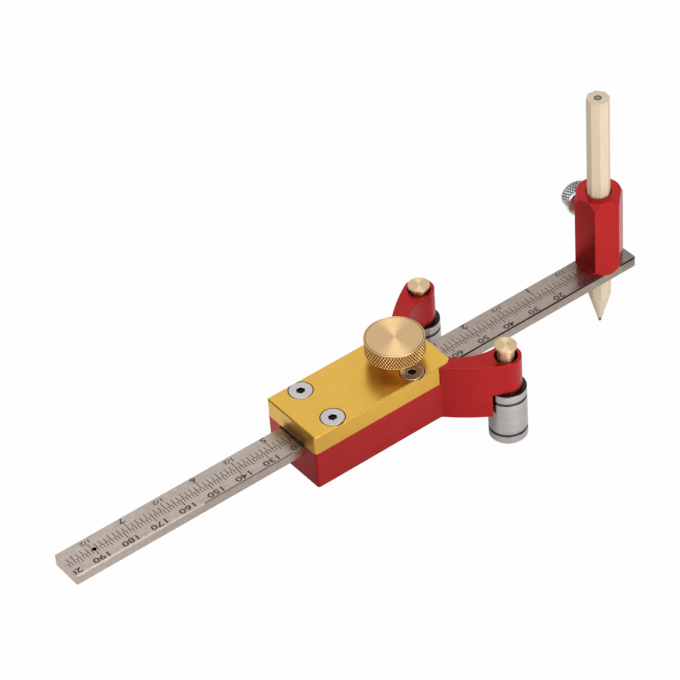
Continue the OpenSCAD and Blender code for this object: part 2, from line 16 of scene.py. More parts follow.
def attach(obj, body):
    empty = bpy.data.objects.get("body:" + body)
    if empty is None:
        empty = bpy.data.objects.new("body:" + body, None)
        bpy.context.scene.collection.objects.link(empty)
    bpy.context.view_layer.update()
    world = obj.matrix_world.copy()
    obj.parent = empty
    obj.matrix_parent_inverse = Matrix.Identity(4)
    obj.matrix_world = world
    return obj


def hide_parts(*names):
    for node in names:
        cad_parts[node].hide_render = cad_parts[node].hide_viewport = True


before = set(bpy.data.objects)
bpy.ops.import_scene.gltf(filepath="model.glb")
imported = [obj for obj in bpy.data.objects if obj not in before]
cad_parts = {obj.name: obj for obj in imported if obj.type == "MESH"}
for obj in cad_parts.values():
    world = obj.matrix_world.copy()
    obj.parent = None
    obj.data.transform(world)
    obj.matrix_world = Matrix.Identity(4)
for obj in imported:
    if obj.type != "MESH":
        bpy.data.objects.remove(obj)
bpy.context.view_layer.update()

MM = 0.001
INCH = 25.4 * MM

# Sizes that the new pieces share with the CAD solids
RULER_TOP = 12.4 * MM
RULER_TAIL = -119.8 * MM
PENCIL_X = 80.2 * MM
PIVOT_X = -109.8 * MM
AXLE_X, AXLE_Y = 25.45 * MM, 20.55 * MM
SCREW_HALF_PITCH, SCREW_Y = 14.825 * MM, 7.74 * MM
KNOB_Z, KNOB_H, KNOB_R = 23.2 * MM, 5.3 * MM, 9.2 * MM
THUMB_Z, THUMB_TURN = 25.7 * MM, math.radians(70.2)

# Two heights of a turned profile that are closer than this are the same height
SAME = 1e-9


# ---------------------------------------------------------------- meshes
def in_scene(name, data):
    """Object that holds the mesh, lamp or camera, linked into the scene."""
    thing = bpy.data.objects.new(name, data)
    bpy.context.scene.collection.objects.link(thing)
    return thing


def mesh_piece(name, points, faces):
    """Flat-shaded object made of an array of points (n, 3) and a list of faces."""
    mesh = bpy.data.meshes.new(name)
    mesh.from_pydata(points.tolist(), [], faces)
    mesh.update()
    return in_scene(name, mesh)


def wrapped_quads(rows, columns):
    """Quads of a grid whose columns close on themselves, turned outwards for rising rows.

    The quad at row r and column c has the corners (r, c), (r, n), (r + 1, n) and (r + 1, c),
    where n is the next column and the first one follows the last.
    """
    r, c = np.meshgrid(np.arange(rows - 1), np.arange(columns), indexing="ij")
    n = (c + 1) % columns
    corners = [r * columns + c, r * columns + n, (r + 1) * columns + n, (r + 1) * columns + c]
    return np.stack(corners, -1).reshape(-1, 4)


def triangle_wave(u):
    """0 at whole numbers and 1 half-way between them, in straight lines."""
    return 1 - np.abs(2 * (u - np.floor(u)) - 1)


def knurled_turning(name, profile, band, cuts, lead, depth, columns):
    """Turned piece about Z with a diamond-knurled band.

    The profile is a list of (radius, height) from the axis at the low end to the axis at the
    high end. Inside the band, where the profile's radius is r, the radius at the angle a and at
    the height z above the band's low end is
        r - depth * max(w(n a / 2 pi + z / lead), w(n a / 2 pi - z / lead)),
    where w is the triangle wave and n the number of cuts round the piece: two crossing families
    of V grooves that leave pyramids standing.
    """
    profile = np.array(profile)
    low, high = band
    start = int(np.argmax(profile[:, 1] > low - SAME))
    full = profile[start, 0]
    rows = max(8, int(round((high - low) / lead * 2 * columns / cuts)))
    barrel = np.column_stack([np.full(rows + 1, full), np.linspace(low, high, rows + 1)])
    above = profile[start:]
    line = np.vstack([profile[:start], barrel, above[above[:, 1] > high - SAME]])

    angle = np.arange(columns) * (2 * math.pi / columns)
    turn = cuts * angle / (2 * math.pi)
    r = np.repeat(line[:, :1], columns, 1)
    z = np.repeat(line[:, 1:], columns, 1)
    inside = (line[:, 1] > low + SAME) & (line[:, 1] < high - SAME)
    inside &= np.abs(line[:, 0] - full) < SAME
    rise = (z - low) / lead
    groove = np.maximum(triangle_wave(turn + rise), triangle_wave(turn - rise))
    r = r - np.where(inside[:, None], depth * groove, 0)
    grid = np.stack([r * np.cos(angle), r * np.sin(angle), z], -1)

    # The first and last rows lie on the axis: each becomes one point with a fan of triangles
    foot, crown = grid[0].mean(0), grid[-1].mean(0)
    points = np.vstack([grid[1:-1].reshape(-1, 3), foot, crown])
    foot_at, crown_at = len(points) - 2, len(points) - 1
    last = (len(line) - 3) * columns
    c = np.arange(columns)
    n = (c + 1) % columns
    low_fan = np.stack([n, c, np.full(columns, foot_at)], -1)
    high_fan = np.stack([last + c, last + n, np.full(columns, crown_at)], -1)
    quads = wrapped_quads(len(line) - 2, columns)
    return mesh_piece(name, points, quads.tolist() + low_fan.tolist() + high_fan.tolist())


def boxes(name, low, high):
    """One closed box for each row of the arrays of low and high corners (n, 3).

    A corner is low + (high - low) * pick, where pick takes 0 or 1 along each axis.
    """
    pick = np.array([[x, y, z] for z in (0, 1) for y in (0, 1) for x in (0, 1)])
    points = low[:, None] + (high - low)[:, None] * pick
    sides = np.array([[0, 2, 3, 1], [4, 5, 7, 6], [0, 1, 5, 4], [2, 6, 7, 3], [0, 4, 6, 2],
                      [1, 3, 7, 5]])
    faces = (np.arange(len(low)) * 8)[:, None, None] + sides
    return mesh_piece(name, points.reshape(-1, 3), faces.reshape(-1, 4).tolist())


# ---------------------------------------------------------------- scales
def scale_x(mark):
    """Place along X of a mark at a distance from the pencil's axis, counted to the tail."""
    return PENCIL_X - mark


def scale_marks():
    """Graduations as thin plates on the ruler's top face.

    Millimetres stand on the middle line towards the near edge and are longer at every fifth
    and tenth; sixteenths of an inch stand on the far side of that line and are longer at
    eighths, quarters, halves and whole inches. A mark in the pivot hole's way starts past it,
    and the middle line stops on both sides of the hole.
    """
    ten, five, one = 2.65 * MM, 2.1 * MM, 1.55 * MM
    inch, half, quarter, eighth, sixteenth = np.array([3.2, 2.85, 2.35, 2.1, 1.85]) * MM
    ten_wide, one_wide, inch_wide = 0.27 * MM, 0.24 * MM, 0.25 * MM
    hole_reach, hole_clear = 0.95 * MM, 0.85 * MM
    line_half, line_lower = 0.05 * MM, 0.002 * MM
    tail_gap, holder_gap = 0.3 * MM, 8.5 * MM
    bottom, top = RULER_TOP - 0.01 * MM, RULER_TOP + 0.012 * MM

    mm = np.arange(1, 200)
    mm_long = np.where(mm % 10 == 0, ten, np.where(mm % 5 == 0, five, one))
    mm_wide = np.where(mm % 10 == 0, ten_wide, one_wide)
    part = np.arange(1, 126)
    part_long = np.select([part % 16 == 0, part % 8 == 0, part % 4 == 0, part % 2 == 0],
                          [inch, half, quarter, eighth], sixteenth)
    x = scale_x(np.concatenate([mm * MM, part * INCH / 16]))
    side = np.concatenate([mm_wide, np.full(len(part), inch_wide)]) / 2
    low_y = np.concatenate([-mm_long, np.zeros(len(part))])
    high_y = np.concatenate([np.zeros(len(mm)), part_long])
    at_hole = np.abs(x - PIVOT_X) < hole_reach
    low_y = np.where(at_hole & (low_y == 0), hole_clear, low_y)
    high_y = np.where(at_hole & (high_y == 0), -hole_clear, high_y)
    low = np.stack([x - side, low_y, np.full(len(x), bottom)], -1)
    high = np.stack([x + side, high_y, np.full(len(x), top)], -1)

    for start, end in ((RULER_TAIL + tail_gap, PIVOT_X - hole_reach),
                       (PIVOT_X + hole_reach, PENCIL_X - holder_gap)):
        low = np.vstack([low, [start, -line_half, bottom]])
        high = np.vstack([high, [end, line_half, top - line_lower]])
    return boxes("scale_marks", low, high)


def label_mesh(words, tall, bold):
    """Points and faces of the words as a flat solid, whose figures have the given height.

    In the font a figure takes a fixed share of the text's size, so the size is height / share.
    """
    figure_share = 0.72
    curve = bpy.data.curves.new("label", "FONT")
    curve.body = words
    curve.size = 1
    curve.offset = bold
    curve.extrude = 0.006
    curve.resolution_u = 3
    curve.align_x, curve.align_y = "CENTER", "CENTER"
    holder = in_scene("label", curve)
    shown = holder.evaluated_get(bpy.context.evaluated_depsgraph_get())
    mesh = bpy.data.meshes.new_from_object(shown)
    points = np.empty(len(mesh.vertices) * 3, np.float32)
    mesh.vertices.foreach_get("co", points)
    faces = [tuple(p.vertices) for p in mesh.polygons]
    bpy.data.objects.remove(holder)
    bpy.data.meshes.remove(mesh)
    bpy.data.curves.remove(curve)
    return points.reshape(-1, 3) * (tall / figure_share), faces


def scale_numbers():
    """Figures of both scales, with their heads to the near edge, read towards the tail.

    A point (u, v, w) of a label goes to x = mark's x - wide * u, y = row - v and
    z = foot + flatter * w, which turns the label half round. What would hang over the ruler's
    tail is cut off.
    """
    foot, flatter, tail_gap, weld = RULER_TOP + 0.004 * MM, 0.5, 0.3 * MM, 1e-7
    # Words, distance from the pencil's axis, row, height of the figures, boldness and width
    labels = [(str(m), m * MM, -4.05 * MM, 2.06 * MM, 0.02, 1.42) for m in range(10, 201, 10)]
    labels += [(str(i), i * INCH, 4.38 * MM, 1.96 * MM, 0.02, 1.4) for i in range(1, 8)]
    labels += [("1/2", (i + 0.5) * INCH, 3.97 * MM, 1.42 * MM, 0.014, 1.45) for i in range(8)]
    points, faces, start = [], [], 0
    for words, mark, row, tall, bold, wide in labels:
        flat, corners = label_mesh(words, tall, bold)
        points.append(np.stack([scale_x(mark) - flat[:, 0] * wide, row - flat[:, 1],
                                foot + flat[:, 2] * flatter], -1))
        faces += [tuple(start + k for k in face) for face in corners]
        start += len(flat)
    piece = mesh_piece("scale_numbers", np.vstack(points), faces)

    solid = bmesh.new()
    solid.from_mesh(piece.data)
    bmesh.ops.remove_doubles(solid, verts=solid.verts, dist=weld)
    everything = solid.verts[:] + solid.edges[:] + solid.faces[:]
    cut = bmesh.ops.bisect_plane(solid, geom=everything, plane_co=(RULER_TAIL + tail_gap, 0, 0),
                                 plane_no=(-1, 0, 0), clear_outer=True)
    rims = [e for e in cut["geom_cut"] if isinstance(e, bmesh.types.BMEdge)]
    bmesh.ops.holes_fill(solid, edges=rims)
    bmesh.ops.recalc_face_normals(solid, faces=solid.faces)
    solid.to_mesh(piece.data)
    solid.free()
    return piece


# ---------------------------------------------------------------- knurled heads
def lock_knob_knurled():
    """Lock knob: tip, shank, collar, diamond-knurled band, groove, and lip with a turned ring.

    Its outline is given from the tip up, and knurled_turning carries it round the axis.
    """
    tip_r, shank_r, collar_r = 1.5 * MM, 2.28 * MM, 4.5 * MM
    tip_z, shank_z, collar_z = 13.35 * MM, 14.5 * MM, 20.25 * MM
    lip, groove, dip, rim = 0.3 * MM, 0.2 * MM, 0.35 * MM, 0.3 * MM
    step = 0.001 * MM
    top = KNOB_Z + KNOB_H
    low, high = KNOB_Z + rim, top - lip - groove
    # How far the lip's points lie inside the knob's radius and below its top, in mm
    lip_points = [(0.12, 0.3), (0.03, 0.22), (0.03, 0.12), (0.13, 0.02), (0.25, 0), (0.42, 0),
                  (0.47, 0.12), (0.6, 0.12), (0.65, 0)]
    profile = [(0, tip_z), (tip_r, tip_z), (tip_r, shank_z), (shank_r, shank_z),
               (shank_r, collar_z), (collar_r, collar_z), (collar_r, KNOB_Z),
               (KNOB_R - rim, KNOB_Z), (KNOB_R, low), (KNOB_R, high),
               (KNOB_R - dip, high + step), (KNOB_R - dip, top - lip)]
    profile += [(KNOB_R - inset * MM, top - drop * MM) for inset, drop in lip_points]
    profile += [(0, top)]
    return knurled_turning("lock_knob_knurled", profile, (low, high), cuts=60, lead=1.5 * MM,
                           depth=0.33 * MM, columns=660)


def thumb_screw_knurled():
    """Thumb screw: hollow tip, shank, neck and diamond-knurled head, from the tip outwards.

    Its outline is carried round Z, then laid down and turned to its place above the ruler.
    """
    tip_r, shank_r, neck_r, head_r = 0.95 * MM, 1.81 * MM, 3 * MM, 5.2 * MM
    start, bore_end, neck_z, head_z, long = 4.55 * MM, 5.6 * MM, 13.1 * MM, 13.6 * MM, 5.4 * MM
    rim, chamfer, step = 0.4 * MM, 1.2 * MM, 0.001 * MM
    end = head_z + long
    low, high = head_z + rim, end - rim
    profile = [(0, bore_end), (tip_r, bore_end), (tip_r, start), (shank_r, start + step),
               (shank_r, neck_z), (neck_r, neck_z), (head_r - rim, head_z), (head_r, low),
               (head_r, high), (head_r - rim, end), (head_r - chamfer, end), (0, end)]
    piece = knurled_turning("thumb_screw_knurled", profile, (low, high), cuts=30, lead=1.9 * MM,
                            depth=0.42 * MM, columns=420)
    turn = Matrix.Rotation(THUMB_TURN, 4, "Z") @ Matrix.Rotation(math.pi / 2, 4, "Y")
    piece.data.transform(Matrix.Translation((PENCIL_X, 0, THUMB_Z)) @ turn)
    return piece


# ---------------------------------------------------------------- shading nodes
def feed(tree, value, socket):
    """Sets an input socket to a number or colour, or links another node's output to it."""
    if isinstance(value, bpy.types.NodeSocket):
        tree.links.new(value, socket)
    else:
        socket.default_value = value


def put(tree, kind, values=None, **settings):
    """New node with its settings and what goes into its input sockets."""
    node = tree.nodes.new("ShaderNode" + kind)
    for key, value in settings.items():
        setattr(node, key, value)
    for key, value in (values or {}).items():
        feed(tree, value, node.inputs[key])
    return node


def maths(tree, operation, *terms):
    """Output of a Math node whose terms are outputs or numbers."""
    return put(tree, "Math", dict(enumerate(terms)), operation=operation).outputs[0]


def ramp(tree, value, start, end, first=0.0, last=1.0):
    """Runs in a straight line from first to last while the value goes from start to end."""
    return put(tree, "MapRange", {"Value": value, "From Min": start, "From Max": end,
                                  "To Min": first, "To Max": last}).outputs[0]


def mixed(tree, factor, a, b, kind="MIX"):
    """Colour a with as much of colour b mixed or multiplied in as the factor says."""
    return put(tree, "Mix", {"Factor": factor, "A": a, "B": b}, data_type="RGBA",
               blend_type=kind).outputs["Result"]


def noise(tree, where, scale, detail, roughness, share=None, dimensions="3D"):
    """Noise of a vector, or of a single number where the dimensions are 1D.

    A share of the scale makes it broader than a noise at the whole scale.
    """
    key = "W" if dimensions == "1D" else "Vector"
    if share is not None:
        scale = maths(tree, "MULTIPLY", scale, share)
    return put(tree, "TexNoise", {key: where, "Scale": scale, "Detail": detail,
                                  "Roughness": roughness},
               noise_dimensions=dimensions).outputs[0]


def weighed(tree, *shares):
    """Sum of outputs, each times its share."""
    total = 0.0
    for output, share in shares:
        total = maths(tree, "MULTIPLY_ADD", output, share, total)
    return total


def placed(tree, centre, turn=(0, 0, 0), stretch=(1, 1, 1)):
    """Object coordinates counted from a centre, turned and stretched with the pattern."""
    where = put(tree, "TexCoord")
    return put(tree, "Mapping", {"Vector": where.outputs["Object"], "Location": centre,
                                 "Rotation": turn, "Scale": stretch},
               vector_type="TEXTURE").outputs[0]


# ---------------------------------------------------------------- effects that finishes share
def group_of(name, inputs, outputs):
    """Empty shader node group, with its inputs' and outputs' names and kinds."""
    tree = bpy.data.node_groups.new(name, "ShaderNodeTree")
    for way, sockets in (("INPUT", inputs), ("OUTPUT", outputs)):
        for label, kind in sockets.items():
            tree.interface.new_socket(label, in_out=way, socket_type="NodeSocket" + kind)
    return tree, tree.nodes.new("NodeGroupInput").outputs, tree.nodes.new("NodeGroupOutput").inputs


def texture_group(name):
    """Empty group for a texture: Vector and Scale go in, Tone and Height come out."""
    return group_of(name, {"Vector": "Vector", "Scale": "Float"},
                    {"Tone": "Float", "Height": "Float"})


def rubbed_edges():
    """Rounded normal, and a mask from 0 to 1 with the angle that rounding turns it: wear and
    painted highlight.
    """
    tree, given, out = group_of("rubbed_edges", {"Radius": "Float"},
                                {"Mask": "Float", "Normal": "Vector"})
    first_wear_and_shine, full_wear_and_shine = 0.01, 0.22
    rounded = put(tree, "Bevel", {"Radius": given["Radius"]}, samples=6).outputs[0]
    face = put(tree, "NewGeometry").outputs["Normal"]
    along = put(tree, "VectorMath", {0: rounded, 1: face}, operation="DOT_PRODUCT")
    turned = maths(tree, "SUBTRACT", 1.0, along.outputs["Value"])
    feed(tree, ramp(tree, turned, first_wear_and_shine, full_wear_and_shine), out["Mask"])
    feed(tree, rounded, out["Normal"])
    return tree


def fine_grain():
    """Blasted or cast grain: fine noise for height, and fine and broad noise mixed for tone."""
    tree, given, out = texture_group("fine_grain")
    where, scale = given["Vector"], given["Scale"]
    fine = noise(tree, where, scale, detail=3.0, roughness=0.6)
    broad = noise(tree, where, scale, detail=2.0, roughness=0.5, share=0.03)
    feed(tree, weighed(tree, (fine, 0.45), (broad, 0.55)), out["Tone"])
    feed(tree, fine, out["Height"])
    return tree


def ground_lines():
    """Lines left by grinding along X, noise stretched along X, over soft blotches."""
    tree, given, out = texture_group("ground_lines")
    where, scale, squeeze = given["Vector"], given["Scale"], (0.02, 1.0, 1.0)
    drawn = put(tree, "Mapping", {"Vector": where, "Scale": squeeze}).outputs[0]
    fine = noise(tree, drawn, scale, detail=4.0, roughness=0.65)
    broad = noise(tree, drawn, scale, detail=3.0, roughness=0.6, share=0.22)
    blotch = noise(tree, where, scale, detail=3.0, roughness=0.6, share=0.13)
    feed(tree, weighed(tree, (fine, 0.28), (broad, 0.22), (blotch, 0.5)), out["Tone"])
    feed(tree, fine, out["Height"])
    return tree


def turned_rings():
    """Tool marks of a lathe: one-dimensional noise of radius plus height about the Z axis."""
    tree, given, out = texture_group("turned_rings")
    scale = given["Scale"]
    x, y, z = put(tree, "SeparateXYZ", {0: given["Vector"]}).outputs
    flat = put(tree, "CombineXYZ", {0: x, 1: y}).outputs[0]
    radius = put(tree, "VectorMath", {0: flat}, operation="LENGTH").outputs["Value"]
    run = maths(tree, "ADD", radius, z)
    fine = noise(tree, run, scale, detail=3.0, roughness=0.7, dimensions="1D")
    broad = noise(tree, run, scale, detail=2.0, roughness=0.5, share=0.15, dimensions="1D")
    feed(tree, weighed(tree, (fine, 0.5), (broad, 0.5)), out["Tone"])
    feed(tree, fine, out["Height"])
    return tree


EFFECTS = {"edges": rubbed_edges(), "grain": fine_grain(), "lines": ground_lines(),
           "rings": turned_rings()}


def effect(tree, name, **values):
    """Outputs of one of the shared groups, placed with its own values."""
    node = put(tree, "Group", node_tree=EFFECTS[name])
    for label, value in values.items():
        feed(tree, value, node.inputs[label])
    return node.outputs


# ---------------------------------------------------------------- tinted zones
# An end of a span, in mm, where the zone has no end
OPEN = 999


def tint(colour, soft, **spans):
    """A zone of a finish: the colour that multiplies it, its soft border and its spans, in mm.

    Spans run along X, Y and Z, over R, the distance from the Z axis, and over S, the distance
    from the axis of the nearest cover screw.
    """
    return colour, soft, spans


def between(tree, value, low, high, soft):
    """Mask that is 1 from low to high and falls to 0 over the soft length outside them."""
    return maths(tree, "MULTIPLY", ramp(tree, value, low - soft, low),
                 ramp(tree, value, high + soft, high))


def distance(tree, x, y):
    """Distance from the axis where x and y are 0: the root of x x + y y."""
    squares = [maths(tree, "MULTIPLY", leg, leg) for leg in (x, y)]
    return maths(tree, "SQRT", maths(tree, "ADD", *squares))


def zone(tree, vector, soft, spans):
    """Mask of a zone, the product of the masks of its spans.

    The four cover screws stand at X = 0 and X = -2 p, Y = q and Y = -q. Folding the cover along
    its two lines of symmetry, x = |X + p| - p and y = |Y| - q, lays all four axes on one.
    """
    run = dict(zip("XYZ", put(tree, "SeparateXYZ", {0: vector}).outputs))
    if "R" in spans:
        run["R"] = distance(tree, run["X"], run["Y"])
    if "S" in spans:
        from_middle = maths(tree, "ABSOLUTE", maths(tree, "ADD", run["X"], SCREW_HALF_PITCH))
        from_ruler = maths(tree, "ABSOLUTE", run["Y"])
        run["S"] = distance(tree, maths(tree, "SUBTRACT", from_middle, SCREW_HALF_PITCH),
                            maths(tree, "SUBTRACT", from_ruler, SCREW_Y))
    masks = [between(tree, run[axis], low * MM, high * MM, soft * MM)
             for axis, (low, high) in spans.items()]
    return functools.reduce(lambda a, b: maths(tree, "MULTIPLY", a, b), masks)


def toned(tree, colour, vector, zones):
    """The colour, multiplied in each zone by that zone's tint."""
    for shade, soft, spans in zones:
        colour = mixed(tree, zone(tree, vector, soft, spans), colour, (*shade, 1), "MULTIPLY")
    return colour


# ---------------------------------------------------------------- finishes
# The noises' tones lie between these two values
TONE_LOW, TONE_HIGH = 0.3, 0.7


def new_material(name):
    """Material with nothing in it but its Principled shader, its node tree and the shader."""
    material = bpy.data.materials.new(name)
    material.use_nodes = True
    return material, material.node_tree, material.node_tree.nodes["Principled BSDF"]


def give_relief(tree, shader, height, strength, depth, rounded):
    """Bump from the height, on top of the rounded normal."""
    relief = put(tree, "Bump", {"Strength": strength, "Distance": depth, "Height": height,
                                "Normal": rounded})
    feed(tree, relief.outputs[0], shader.inputs["Normal"])


def finish_of(name, texture, scale, dark, light, rough, bump, edge=0.25 * MM, edge_light=1.25,
              metallic=1.0, brushed=0.0, centre=(0, 0, 0), turn=(0, 0, 0), zones=()):
    """Material whose colour runs from dark to light with a texture's tone, lighter on rounded
    edges as wear and as a painted highlight.

    Its roughness follows the tone between the two values given, and its bump the texture's
    height. Brushed above 0 draws reflections out across the turning marks. The centre and the
    turn place the texture and the tinted zones on the piece.
    """
    quarter_turn, bump_depth = 0.25, 0.02 * MM
    material, tree, shader = new_material(name)
    shader.inputs["Metallic"].default_value = metallic
    shader.inputs["Anisotropic"].default_value = brushed
    shader.inputs["Anisotropic Rotation"].default_value = quarter_turn
    where = placed(tree, centre, turn)
    look = effect(tree, texture, Vector=where, Scale=scale)
    edges = effect(tree, "edges", Radius=edge)
    tone = ramp(tree, look["Tone"], TONE_LOW, TONE_HIGH)
    plain = mixed(tree, tone, (*dark, 1), (*light, 1))
    # Lighter on rounded edges by edge_light: partly rubbed wear, partly a painted highlight.
    worn_and_highlit = mixed(tree, edges["Mask"], plain, (edge_light, edge_light, edge_light, 1), "MULTIPLY")
    feed(tree, toned(tree, worn_and_highlit, where, zones), shader.inputs["Base Color"])
    feed(tree, ramp(tree, look["Tone"], TONE_LOW, TONE_HIGH, *rough), shader.inputs["Roughness"])
    give_relief(tree, shader, look["Height"], bump, bump_depth, edges["Normal"])
    return material


def pencil_wood_finish():
    """Pale bare wood: long soft grain along Z with a few darker pores, dark round its core."""
    grain_dark, grain_light = (0.71, 0.57, 0.40, 1), (0.76, 0.64, 0.475, 1)
    pore_colour, grain_stretch = (0.5, 0.34, 0.2, 1), (1, 1, 22)
    grain_scale, grain_full, grain_rough = 900.0, 0.62, (0.6, 0.75)
    pore_scale, pore_low, pore_high, pore_share = 3200.0, 0.24, 0.4, 0.35
    pore_bump, pore_depth, edge = 0.25, 0.03 * MM, 0.5 * MM
    material, tree, shader = new_material("pencil_wood_finish")
    shader.inputs["Specular IOR Level"].default_value = 0.3
    along = placed(tree, (PENCIL_X, 0, 0), stretch=grain_stretch)
    grain = noise(tree, along, grain_scale, detail=4.0, roughness=0.6)
    pores = noise(tree, along, pore_scale, detail=2.0, roughness=0.5)
    plain = mixed(tree, ramp(tree, grain, TONE_LOW, grain_full), grain_dark, grain_light)
    speck = ramp(tree, pores, pore_low, pore_high, pore_share, 0.0)
    wood = mixed(tree, speck, plain, pore_colour)
    core_ring = tint((0.2, 0.16, 0.13), 0.15, R=(0, 1.15), Z=(75.6, OPEN))
    colour = toned(tree, wood, placed(tree, (PENCIL_X, 0, 0)), [core_ring])
    feed(tree, colour, shader.inputs["Base Color"])
    feed(tree, ramp(tree, grain, TONE_LOW, TONE_HIGH, *grain_rough), shader.inputs["Roughness"])
    edges = effect(tree, "edges", Radius=edge)
    give_relief(tree, shader, pores, pore_bump, pore_depth, edges["Normal"])
    return material


def ruler_finish():
    """Ground steel with painted shade towards the pencil, in the pivot hole and past the holder;
    darker near chamfer.

    Its zones are painted shade along the whole length and on the walls of the hole, the chamfer
    near the tail, a painted dark reflection of the holder on the top face past it, and the chamfer
    before and behind the body.
    """
    chamfer = {"Y": (-9, -5.43), "Z": (12.04, 12.37)}
    # Painted shade: darker towards the pencil, for the lamps' fall-off along the ruler.
    zones = [tint((0.66, 0.645, 0.63), 200, X=(90, OPEN)),
             # Painted shade on the walls of the pivot hole.
             tint((0.08, 0.07, 0.06), 0.05, X=(-110.72, -108.88), Y=(-0.92, 0.92), Z=(9, 12.3)),
             tint((0.75, 0.74, 0.73), 0.02, X=(-OPEN, -75), **chamfer),
             # Painted dark reflection of the pencil holder on the top face past it.
             tint((0.7, 0.68, 0.66), 3, X=(87, OPEN), Z=(12.2, OPEN)),
             tint((0.1, 0.085, 0.075), 0.02, X=(15, 92), **chamfer),
             tint((0.28, 0.25, 0.23), 0.02, X=(-75, -30), **chamfer)]
    return finish_of("ruler_steel_finish", "lines", scale=4200, dark=(0.40, 0.335, 0.295),
                     light=(0.62, 0.53, 0.47), rough=(0.26, 0.38), bump=0.5, edge=0.1 * MM,
                     edge_light=1.0, zones=zones)


def cover_finish():
    """Gold anodising with painted shade round the screws, on two top edges and at the ruler's
    slot.

    Its zones, all painted shade, are the tail end's top edge, the rings round the screw heads, the
    near side, the near side's top edge, and the mouth of the slot.
    """
    # Painted shade: the tail end's top edge, the gaps round the screw heads, the near side and its
    # top edge, and the slot's mouth.
    zones = [tint((0.5, 0.42, 0.35), 0.06, X=(-OPEN, -39.15), Z=(19.35, OPEN)),
             tint((0.2, 0.1, 0.05), 0.04, S=(0, 3.89), Z=(17, OPEN)),
             tint((0.88, 0.85, 0.8), 0.08, Y=(-OPEN, -11.55)),
             tint((0.5, 0.47, 0.42), 0.06, Y=(-OPEN, -11.5), Z=(19.45, OPEN)),
             tint((0.5, 0.35, 0.22), 2.2, X=(-OPEN, -39.2), Y=(-5.6, 2.4), Z=(11, 15.8))]
    return finish_of("gold_anodised_cover", "grain", scale=9000, dark=(0.72, 0.43, 0.072),
                     light=(0.78, 0.48, 0.09), rough=(0.26, 0.33), bump=0.25, edge=0.16 * MM,
                     edge_light=1.05, zones=zones)


def single_finishes():
    """Finishes of the CAD nodes that the tool has once."""
    return {
        "ruler": ruler_finish(),
        "base": finish_of("red_anodised_body", "grain", scale=9000, dark=(0.40, 0.018, 0.019),
                          light=(0.45, 0.026, 0.026), rough=(0.30, 0.38), bump=0.25,
                          edge_light=1.3),
        "pencil_holder": finish_of("red_anodised_holder", "grain", scale=9000,
                                   dark=(0.43, 0.020, 0.020), light=(0.48, 0.027, 0.026),
                                   rough=(0.28, 0.34), bump=0.25, edge=0.2 * MM,
                                   edge_light=1.3),
        "cover": cover_finish(),
        # Painted highlight on the heads' rims through edge_light, and painted shade on what lies
        # below the cover's top.
        "cover_screws": finish_of("screw_steel_finish", "grain", scale=7000,
                                  dark=(0.53, 0.50, 0.49), light=(0.62, 0.585, 0.575),
                                  rough=(0.25, 0.35), bump=0.2, edge=0.4 * MM, edge_light=1.35,
                                  zones=[tint((0.14, 0.11, 0.10), 0.04, Z=(-OPEN, 19.56))]),
        "clamp_pad": finish_of("clamp_pad_brass", "rings", scale=6000, dark=(0.56, 0.38, 0.16),
                               light=(0.68, 0.48, 0.24), rough=(0.25, 0.35), bump=0.4),
        "pencil_wood": pencil_wood_finish(),
        "graphite_core": finish_of("graphite_finish", "grain", scale=6000,
                                   dark=(0.05, 0.05, 0.055), light=(0.11, 0.11, 0.12),
                                   rough=(0.4, 0.55), bump=0.4, edge=0.1 * MM, metallic=0.0,
                                   centre=(PENCIL_X, 0, 0),
                                   # Painted highlight: the core's top end is lighter.
                                   zones=[tint((3.2, 3.2, 3.4), 0.1, Z=(75.2, OPEN))]),
        "thumb_pad": finish_of("tip_pad_plastic", "grain", scale=5000, dark=(0.42, 0.40, 0.37),
                               light=(0.5, 0.48, 0.45), rough=(0.45, 0.6), bump=0.3,
                               metallic=0.0),
    }


